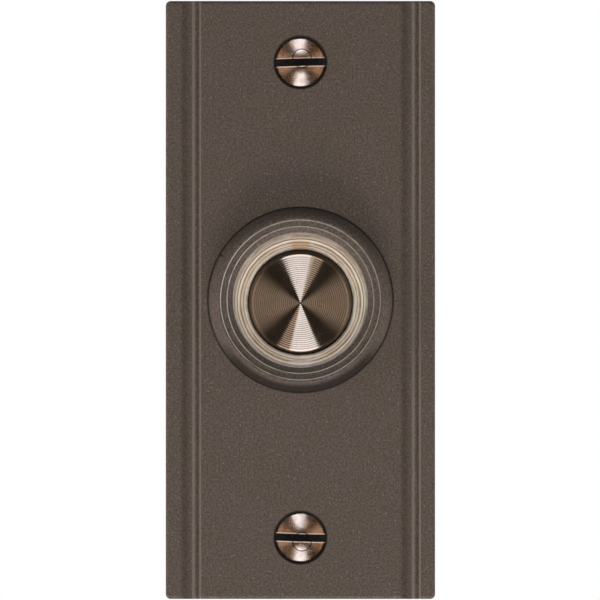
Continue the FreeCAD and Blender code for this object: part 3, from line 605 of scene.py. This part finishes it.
def lathe(name, outline, height=0.0, segments=SEGMENTS):
    """Turns a closed outline (radius, depth, side finish) about the button's axis."""
    shape = bmesh.new()
    rings = []
    for radius, depth, _ in outline:
        if radius < 1e-6:
            rings.append([shape.verts.new((0, -depth * MM, height * MM))] * segments)
            continue
        ring = []
        for number in range(segments):
            angle = 2 * math.pi * number / segments
            x, z = radius * math.sin(angle), height + radius * math.cos(angle)
            ring.append(shape.verts.new(Vector((x, -depth, z)) * MM))
        rings.append(ring)
    for number, (radius, _, side) in enumerate(outline):
        following = (number + 1) % len(outline)
        if max(radius, outline[following][0]) < 1e-6:
            continue
        for k in range(segments):
            j = (k + 1) % segments
            corners = [rings[number][k], rings[number][j]]
            corners += [rings[following][j], rings[following][k]]
            corners = [c for i, c in enumerate(corners) if c not in corners[:i]]
            face = shape.faces.new(corners)
            face.material_index = side
    return finished_mesh(name, shape)


def finished_mesh(name, shape):
    bmesh.ops.recalc_face_normals(shape, faces=shape.faces)
    mesh = bpy.data.meshes.new(name)
    shape.to_mesh(mesh)
    shape.free()
    piece = bpy.data.objects.new(name, mesh)
    bpy.context.scene.collection.objects.link(piece)
    return piece


def ridge(shape, root, crest, start, end, pitch, wide, height=0.0, taper=0.0):
    """A thread's ridge wound round the axis, thinning out at both of its ends."""
    count = int(abs(end - start) / pitch * RIDGE_STEPS)
    rows = []
    for step in range(count + 1):
        share = step / count
        angle = 2 * math.pi * step / RIDGE_STEPS
        depth = start + (end - start) * share
        ends = min(1.0, RIDGE_ENDS * share, RIDGE_ENDS * (1 - share))
        thinner = 1 - taper * share
        base = root * thinner
        top = base + (crest - root) * ends * thinner
        row = []
        for radius, along in ((base, -wide / 2), (top, 0), (base, wide / 2)):
            x, z = radius * math.sin(angle), height + radius * math.cos(angle)
            row.append(shape.verts.new(Vector((x, -(depth + along), z)) * MM))
        rows.append(row)
    skin(shape, rows)


def skin(shape, rows):
    """Faces between rows of corners that each go round, and a cap at both ends."""
    sides = len(rows[0])
    for first, second in zip(rows, rows[1:]):
        for k in range(sides):
            j = (k + 1) % sides
            shape.faces.new((first[k], first[j], second[j], second[k]))
    shape.faces.new(rows[0])
    shape.faces.new(reversed(rows[-1]))


def join(name, pieces):
    """One mesh from several, each with its own finishes kept in order."""
    shape = bmesh.new()
    for piece in pieces:
        shape.from_mesh(piece.data)
    for piece in pieces:
        bpy.data.objects.remove(piece)
    return finished_mesh(name, shape)


def dress(piece, body, finishes, replaced):
    for finish in finishes:
        piece.data.materials.append(FINISHES[finish])
    piece.data.polygons.foreach_set("use_smooth", [True] * len(piece.data.polygons))
    piece.data.set_sharp_from_angle(angle=SMOOTH_ANGLE)
    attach(piece, body)
    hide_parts(*replaced)


# The domed ring: a dome with a narrow crest, a step down to a flat land, a slope
# down to a lip, a threaded neck behind and a nick in its outer edge

FOOT_GAP = 0.02
DOME_WIDTH = 1.55
DOME_CURVE = 4.20
DOME_FOOT = 0.35
CREST_WIDTH = 0.33
CREST_STEP = 0.30
LAND_WIDTH = 0.92
SLOPE_WIDTH = 0.85
SLOPE_DROP = 0.80
LIP_THICK = 0.85
NECK_RADIUS = 11.50
NECK_WALL = 1.15
THREAD_DEPTH = 0.32
THREAD_PITCH = 0.90
THREAD_WIDE = 0.80
RUBBED = 0.13
COAT, WORN = 0, 1
NOTCH_TURN = -60.0
NOTCH_HALF = 0.9
NOTCH_DEPTH = 0.22


def make_bezel():
    outer, top = outer_radius("bezel_ring"), front_depth("bezel_ring")
    neck_back = back_depth("bezel_ring")
    foot = FACE + FOOT_GAP
    crest = outer - DOME_WIDTH
    land_outer = crest - CREST_WIDTH
    land_inner = land_outer - LAND_WIDTH
    lip = land_inner - SLOPE_WIDTH
    land = top - CREST_STEP
    lip_front = land - SLOPE_DROP
    lip_back = lip_front - LIP_THICK
    seat = NECK_RADIUS - NECK_WALL
    root = NECK_RADIUS - THREAD_DEPTH
    thread_front = back_depth("retaining_nut") + 1.0
    dome = arc((outer, FACE + DOME_FOOT), (crest, top), DOME_CURVE, 14)
    corners = [(outer, foot, 0.03, COAT), (outer, FACE + DOME_FOOT, 0, COAT)]
    corners += [(point.x, point.y, 0, COAT) for point in dome]
    corners += [
        (crest, top, 0, COAT),
        (land_outer + RUBBED, top, 0.02, WORN),
        (land_outer, top - RUBBED, 0.02, COAT),
        (land_outer - 0.04, land, 0.06, COAT),
        (land_inner + RUBBED, land, 0.02, WORN),
        (land_inner, land - RUBBED, 0.02, COAT),
        (land_inner - 0.10, land - 0.34, 0.08, COAT),
        (lip + 0.12, lip_front, 0.04, WORN),
        (lip, lip_front - 0.08, 0.03, COAT),
        (lip, lip_back, 0.03, COAT),
        (seat, lip_back, 0.05, COAT),
        (seat, neck_back, 0.10, COAT),
        (root, neck_back, 0.10, COAT),
        (root, thread_front, 0.05, COAT),
        (NECK_RADIUS, thread_front + 0.3, 0.05, COAT),
        (NECK_RADIUS, foot, 0.05, COAT),
    ]
    ring = lathe("bezel_body", eased(corners))
    for vertex in ring.data.vertices:
        spot = vertex.co / MM
        away = math.degrees(math.atan2(spot.x, spot.z)) - NOTCH_TURN
        if math.hypot(spot.x, spot.z) > crest + 0.8 and abs(away) < NOTCH_HALF:
            vertex.co.x *= 1 - NOTCH_DEPTH / outer
            vertex.co.z *= 1 - NOTCH_DEPTH / outer
    shape = bmesh.new()
    thread = (root - 0.02, NECK_RADIUS, neck_back + 0.5, thread_front)
    ridge(shape, *thread, THREAD_PITCH, THREAD_WIDE)
    piece = join("domed_ring", [ring, finished_mesh("bezel_thread", shape)])
    dress(piece, "housing", ["bronze_coat", "worn_and_lit_edge"], ["bezel_ring"])


# The clear ring: its gap round the cap, how far its rippled face reaches from
# the cap, how far its flange lies behind that face, and the waist in its bore

RING_GAP = 0.22
RING_FACE = 1.65
FLANGE_DROP = 0.35
BORE_WAIST = 0.14
WAIST_DROP = 1.0
RIPPLE_STEPS = 6


def ripples(start, end, depth, pitch, height):
    """Points along a face from one radius to another, rippled in depth."""
    count = max(1, round(abs(end - start) / pitch)) * RIPPLE_STEPS
    found = []
    for step in range(1, count):
        radius = start + (end - start) * step / count
        wave = 0.5 - 0.5 * math.cos(2 * math.pi * step / RIPPLE_STEPS)
        found.append((radius, depth - height * wave, 0, 0))
    return found


def make_light_ring():
    low, high = box_mm("light_ring")
    unit, front, back = outer_radius("light_ring"), -low.y, -high.y
    cap = outer_radius("button_cap")
    inner, step = cap + RING_GAP, cap + RING_FACE
    flange = front - FLANGE_DROP
    corners = [(inner, back, 0.03, 0)]
    corners += [(inner - BORE_WAIST, front - WAIST_DROP, 0.05, 0)]
    corners += [(inner, front - 0.14, 0.08, 0), (inner + 0.22, front, 0.10, 0)]
    corners += ripples(inner + 0.30, step - 0.34, front - 0.02, BEAD_PITCH, BEAD_HEIGHT)
    corners += [
        (step - 0.08, front, 0.04, 0),
        (step, front - 0.07, 0.04, 0),
        (step, flange, 0.03, 0),
        (unit, flange, 0.03, 0),
        (unit, back, 0.03, 0),
    ]
    piece = lathe("clear_ring", eased(corners, 3), UNIT_HEIGHT)
    dress(piece, "housing", ["clear_acrylic"], ["light_ring"])


# The return spring, of round wire

WIRE_RADIUS = 0.24
WIRE_SIDES = 12
CLOSED_TURNS = 1
ACTIVE_TURNS = 3
CLOSED_RISE = 0.52
SPRING_STEPS = 40


def make_spring():
    """The end turns are closed. It is made once, at the length of the frame's spring."""
    low, high = box_mm("return_spring")
    bottom, top = -high.y, -low.y
    active_rise = top - bottom - 2 * WIRE_RADIUS - 2 * CLOSED_TURNS * CLOSED_RISE
    steps = (2 * CLOSED_TURNS + ACTIVE_TURNS) * SPRING_STEPS
    mean = (high.x - low.x) / 2 - WIRE_RADIUS
    depth = bottom + WIRE_RADIUS
    shape = bmesh.new()
    rows = []
    for step in range(steps + 1):
        turn = step / SPRING_STEPS
        angle = 2 * math.pi * turn
        row = []
        for side in range(WIRE_SIDES):
            around = 2 * math.pi * side / WIRE_SIDES
            radius = mean + WIRE_RADIUS * math.cos(around)
            spot = Vector((radius * math.cos(angle), 0, radius * math.sin(angle)))
            spot += Vector((0, -(depth + WIRE_RADIUS * math.sin(around)), UNIT_HEIGHT))
            row.append(shape.verts.new(spot * MM))
        rows.append(row)
        is_closed = turn < CLOSED_TURNS or turn >= CLOSED_TURNS + ACTIVE_TURNS
        rise = CLOSED_RISE if is_closed else active_rise / ACTIVE_TURNS
        depth += rise / SPRING_STEPS
    skin(shape, rows)
    piece = finished_mesh("coil_spring", shape)
    dress(piece, "housing", ["spring_steel"], ["return_spring"])
    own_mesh(piece)


# The cap: its skirt's wall, its face's thickness, the room left behind the skirt
# when it is pressed, its bevel, and the socket that holds the plunger

CAP_WALL = 0.90
CAP_SKIN = 1.25
CAP_ROOM = 0.20
BEVEL_DROP = 0.78
SOCKET_INNER = 2.65
SOCKET_OUTER = 3.60


def make_cap():
    radius, front = outer_radius("button_cap"), front_depth("button_cap")
    travel = frame["joints"][0]["range_m"][1] / MM
    back = front_depth("switch_body") + travel + CAP_ROOM
    socket_back = back_depth("button_cap")
    face = radius - CAP_EDGE
    inside = front - CAP_SKIN
    grooves = int(face / GROOVE_PITCH)
    start = face - grooves * GROOVE_PITCH
    corners = [(0.0, front - GROOVE_DEPTH, 0, 0)]
    for groove in range(grooves):
        spot = start + groove * GROOVE_PITCH
        corners.append((spot, front - GROOVE_DEPTH, 0, 0))
        corners.append((spot + GROOVE_PITCH - LONG_SIDE, front, 0, 0))
    corners += [
        (face, front - GROOVE_DEPTH, 0, 0),
        (face + 0.05, front, 0.02, 0),
        (face + 0.10, front - 0.02, 0.03, 1),
        (radius - 0.06, front - BEVEL_DROP, 0.10, 1),
        (radius, front - BEVEL_DROP - 0.20, 0.08, 1),
        (radius, back, 0.05, 1),
        (radius - CAP_WALL, back, 0.05, 1),
        (radius - CAP_WALL, inside, 0.10, 1),
        (SOCKET_OUTER, inside, 0.05, 1),
        (SOCKET_OUTER, socket_back, 0.05, 1),
        (SOCKET_INNER, socket_back, 0.05, 1),
        (SOCKET_INNER, inside, 0, 1),
        (0.0, inside, 0, 0),
    ]
    piece = lathe("grooved_cap", eased(corners, 3), UNIT_HEIGHT)
    for vertex in piece.data.vertices:
        above = -vertex.co.y / MM - front + BEVEL_DROP
        share = min(1.0, max(0.0, above / (BEVEL_DROP - GROOVE_DEPTH)))
        vertex.co.z -= CAP_LEAN * share * MM
    dress(piece, "button", ["grooved_bronze", "cap_side"], ["button_cap"])


# The fixing screws, with the heads' rims sunk in the face

HEAD_SIDES = 144
RIM_DROP = 0.30
SLOT_DEPTH = 1.25
SLOT_EASE = 0.15
BRIGHT_DEPTH = 0.10
HEAD_RADIUS = 3.50
HEAD_RISE = 1.15
CONE_DEPTH = 2.24
NECK = 1.55
CORE = 1.22
TIP_LENGTH = 3.0
CREST = 1.74
TIP_CREST = 1.70
TIP_TAPER = 0.7
SCREW_PITCH = 1.30
COPPER, DARK_SLOT = 0, 1


def cut_slot(head, height, top, tilt):
    """Saws the slot, eases its edges and darkens its sides and floor."""
    cutter_shape = bmesh.new()
    bmesh.ops.create_cube(cutter_shape, size=1.0)
    cutter = finished_mesh("slot_cutter", cutter_shape)
    size = Vector((2 * HEAD_RADIUS + 1, 2 * SLOT_DEPTH, SLOT_WIDTH)) * MM
    middle = Vector((0, -top, height)) * MM
    turn = Matrix.Rotation(-math.radians(tilt), 4, "Y")
    cutter.matrix_world = Matrix.Translation(middle) @ turn @ Matrix.Diagonal((*size, 1))
    cut = head.modifiers.new("slot", "BOOLEAN")
    cut.object = cutter
    cut.solver = "EXACT"
    bevel = head.modifiers.new("ease", "BEVEL")
    bevel.width = SLOT_EASE * MM
    bevel.segments = 3
    bevel.limit_method = "ANGLE"
    bevel.angle_limit = math.radians(50)
    depsgraph = bpy.context.evaluated_depsgraph_get()
    mesh = bpy.data.meshes.new_from_object(head.evaluated_get(depsgraph))
    head.modifiers.clear()
    head.data = mesh
    bpy.data.objects.remove(cutter)
    back = turn.inverted() @ Matrix.Translation(-middle)
    for face in mesh.polygons:
        spot = back @ face.center
        in_width = abs(spot.z) < (SLOT_WIDTH / 2 + 0.01) * MM
        in_depth = BRIGHT_DEPTH * MM < spot.y < (SLOT_DEPTH + 0.01) * MM
        face.material_index = DARK_SLOT if in_width and in_depth else COPPER


def make_screw(end, tilt):
    node = "mounting_screw_" + end
    low, high = box_mm(node)
    height, reach = (low.z + high.z) / 2, high.y
    rim = FACE - RIM_DROP
    top = rim + HEAD_RISE
    curve = (HEAD_RADIUS**2 + HEAD_RISE**2) / (2 * HEAD_RISE)
    dome = arc((HEAD_RADIUS, rim), (0.0, top), curve, 24)
    corners = [(NECK, rim - CONE_DEPTH, 0, COPPER), (HEAD_RADIUS, rim - 0.08, 0.03, COPPER)]
    corners += [(HEAD_RADIUS, rim, 0.03, COPPER)]
    corners += [(point.x, point.y, 0, COPPER) for point in dome]
    corners += [
        (0.0, top, 0, COPPER),
        (0.0, -reach, 0, COPPER),
        (CORE, TIP_LENGTH - reach, 0.3, COPPER),
        (CORE, -0.6, 0.2, COPPER),
        (NECK, 0.2, 0.2, COPPER),
    ]
    head = lathe("screw_body_" + end, eased(corners), height, HEAD_SIDES)
    cut_slot(head, height, top, tilt)
    shape = bmesh.new()
    straight_end = TIP_LENGTH - reach
    root = CORE - 0.03
    ridge(shape, root, CREST, -0.3, straight_end, SCREW_PITCH, 0.55, height)
    tip = (straight_end + 0.4, 0.9 - reach, SCREW_PITCH, 0.5, height, TIP_TAPER)
    ridge(shape, root, TIP_CREST, *tip)
    piece = join("fixing_screw_" + end, [head, finished_mesh("screw_thread_" + end, shape)])
    dress(piece, "housing", ["aged_copper", "slot_dark"], [node])


make_bezel()
make_light_ring()
make_spring()
make_cap()
make_screw("top", 1.5)
make_screw("bottom", -1.7)


# Finishes of the pieces kept from the frame

for entry in frame["record"]["subparts"]:
    node = frame["nodes"][entry["node"]]
    if not node.hide_render:
        node.data.materials.clear()
        node.data.materials.append(FINISHES[entry["material_slot"]])


# Floor, lights, world and camera. CLIP_END, FLOOR_SIZE, LIGHT_AWAY and the
# lights' widths and heights are in metres

VIEW_HEIGHT = 84.84
CAMERA_AWAY = 1000.0
CAMERA_SIDE = -0.06
CLIP_END = 20.0
SENSOR = 36.0
FLOOR_DROP = 40.0
FLOOR_SIZE = 0.4
FLOOR_TONE = (colour(0.82, 0.82, 0.82), colour(0.86, 0.86, 0.86))
FLOOR_SEEN = colour(0.96, 0.96, 0.96)
FLOOR_GLOW = 0.45
FILL = 0.03
DARK_GLOW = 0.055
SIDE_GLOW = 0.38
TOP_GLOW = 2.4
BOTTOM_GLOW = 2.6
STRIPE_GLOW = 0.85
PANEL_SOFT = 1.5
PANEL_TINT = (0.75, 0.94, 1.28, 1.0)

# Name, turn from straight up and tilt from the view's line in degrees, width,
# height, radiance
LIGHT_AWAY = 0.8
LIGHTS = (
    ("front_light", 180, 8, 0.40, 0.40, 5.7),
    ("left_light", -90, 84, 0.40, 0.60, 5.4),
    ("right_light", 90, 84, 0.40, 0.60, 3.4),
    ("bottom_light", 180, 72, 0.42, 0.20, 20.5),
    ("back_light", 0, 172, 0.40, 0.40, 2.5),
)


def make_floor():
    finish = Finish("floor_paint")
    tone = finish.noise(40.0, 2.0, 0.5)
    finish.set(base_color=finish.mix(tone, *FLOOR_TONE))
    finish.set(roughness=0.8, emission_color=FLOOR_SEEN)
    seen = finish.node("LightPath", {}).outputs["Is Camera Ray"]
    finish.set(emission_strength=finish.sums("MULTIPLY", seen, FLOOR_GLOW))
    shape = bmesh.new()
    bmesh.ops.create_grid(shape, x_segments=8, y_segments=8, size=FLOOR_SIZE)
    floor = finished_mesh("floor", shape)
    floor.location.z = cad_box[0][2] - FLOOR_DROP * MM
    floor.data.materials.append(finish.material)
    floor.visible_glossy = False
    floor.visible_shadow = False


def area_light(name, turn, tilt, width, height, radiance):
    """A soft light, turned round the view's line and tilted away from it.

    Gloss sees the studio in the world instead."""
    light = bpy.data.lights.new(name, "AREA")
    light.shape = "RECTANGLE"
    light.size, light.size_y = width, height
    light.energy = radiance * math.pi * width * height
    lamp = bpy.data.objects.new(name, light)
    bpy.context.scene.collection.objects.link(lamp)
    around, away = math.radians(turn), math.radians(tilt)
    side = Vector((math.sin(around), 0, math.cos(around)))
    direction = side * math.sin(away) + Vector((0, -1, 0)) * math.cos(away)
    lamp.location = direction * LIGHT_AWAY
    across = side.cross(direction).normalized()
    turn_to = Matrix((across, direction.cross(across), direction)).transposed()
    lamp.rotation_euler = turn_to.to_euler()
    lamp.visible_camera = False
    lamp.visible_glossy = False
    lamp.visible_transmission = False


class Studio:
    """The world's nodes: a direction's turn from straight up, or from straight
    down, and its distance from the view's line, in degrees."""

    def __init__(self, tree):
        self.tree = tree
        place = self.node("TexCoord", {})["Generated"]
        self.x, self.y, self.z = self.node("SeparateXYZ", {0: place})
        ahead = self.calc("MULTIPLY", self.y, -1.0)
        self.away = self.calc("DEGREES", self.calc("ARCCOSINE", ahead))
        self.turn = self.calc("DEGREES", self.calc("ARCTAN2", self.x, self.z))
        below = self.calc("ARCTAN2", self.x, self.calc("MULTIPLY", self.z, -1.0))
        self.low_turn = self.calc("DEGREES", below)

    def node(self, kind, inputs, **settings):
        made = self.tree.nodes.new("ShaderNode" + kind)
        for key, value in settings.items():
            setattr(made, key, value)
        for key, value in inputs.items():
            if isinstance(value, bpy.types.NodeSocket):
                self.tree.links.new(value, made.inputs[key])
            else:
                made.inputs[key].default_value = value
        return made.outputs

    def calc(self, operation, first, second=0.0):
        return self.node("Math", {0: first, 1: second}, operation=operation)[0]

    def step(self, value, low, high):
        inputs = {"Value": value, "From Min": low, "From Max": high}
        return self.node("MapRange", inputs, interpolation_type="SMOOTHSTEP")["Result"]

    def window(self, value, low, high, soft):
        rising = self.step(value, low - soft, low + soft)
        return self.calc("MULTIPLY", rising, self.step(value, high + soft, high - soft))

    def panel(self, turn, turns, aways, strength):
        along = self.window(turn, *turns, PANEL_SOFT)
        shape = self.calc("MULTIPLY", along, self.window(self.away, *aways, PANEL_SOFT))
        return self.calc("MULTIPLY", shape, strength)


def make_world():
    """White to the camera. Gloss sees white behind the button and, in front of
    it, a dim studio with panels above and below and a soft glow at the sides."""
    world = bpy.data.worlds.new("studio")
    bpy.context.scene.world = world
    world.use_nodes = True
    world.cycles.sampling_method = "NONE"
    tree = world.node_tree
    tree.nodes.clear()
    studio = Studio(tree)
    calc = studio.calc
    cool = [
        studio.panel(studio.turn, (-22, 13), (27, 76), TOP_GLOW),
        studio.panel(studio.low_turn, (-13, 22), (27, 45), BOTTOM_GLOW),
        studio.panel(studio.low_turn, (-17, 17), (46, 76), BOTTOM_GLOW),
    ]
    stripes = [
        studio.panel(studio.turn, (14, 28), (26, 46), STRIPE_GLOW),
        studio.panel(studio.low_turn, (-28, -14), (26, 46), STRIPE_GLOW),
    ]
    sideways = calc("ABSOLUTE", calc("SINE", calc("RADIANS", studio.turn)))
    glow = calc("MULTIPLY", studio.step(sideways, 0.70, 0.98), SIDE_GLOW)
    glow = calc("MULTIPLY", glow, studio.step(studio.away, 5, 35))
    panels = calc("ADD", calc("ADD", cool[0], cool[1]), cool[2])
    for part in (panels, *stripes, DARK_GLOW):
        glow = calc("ADD", glow, part)
    behind = studio.step(studio.y, -0.05, 0.20)
    gloss = calc("ADD", glow, calc("MULTIPLY", behind, calc("SUBTRACT", 1.0, glow)))
    path = studio.node("LightPath", {})
    seen = calc("MAXIMUM", path["Is Glossy Ray"], path["Is Transmission Ray"])
    fill = calc("ADD", FILL, calc("MULTIPLY", seen, calc("SUBTRACT", gloss, FILL)))
    camera = path["Is Camera Ray"]
    strength = calc("ADD", fill, calc("MULTIPLY", camera, calc("SUBTRACT", 1.0, fill)))
    share = calc("MULTIPLY", seen, calc("DIVIDE", panels, TOP_GLOW))
    shades = {0: share, 6: (1, 1, 1, 1), 7: PANEL_TINT}
    tint = studio.node("Mix", shades, data_type="RGBA")[2]
    background = studio.node("Background", {"Color": tint, "Strength": strength})
    output = tree.nodes.new("ShaderNodeOutputWorld")
    tree.links.new(background[0], output.inputs["Surface"])


def make_camera():
    camera_data = bpy.data.cameras.new("camera")
    camera_data.sensor_width = SENSOR
    camera_data.lens = SENSOR * CAMERA_AWAY / VIEW_HEIGHT
    camera_data.clip_end = CLIP_END
    camera = bpy.data.objects.new("camera", camera_data)
    bpy.context.scene.collection.objects.link(camera)
    camera.location = Vector((CAMERA_SIDE, -(FACE + CAMERA_AWAY), 0.0)) * MM
    camera.rotation_euler = (math.radians(90), 0, 0)
    bpy.context.scene.camera = camera


make_floor()
for light in LIGHTS:
    area_light(*light)
make_world()
make_camera()

scene = bpy.context.scene
scene.view_settings.view_transform = "Standard"
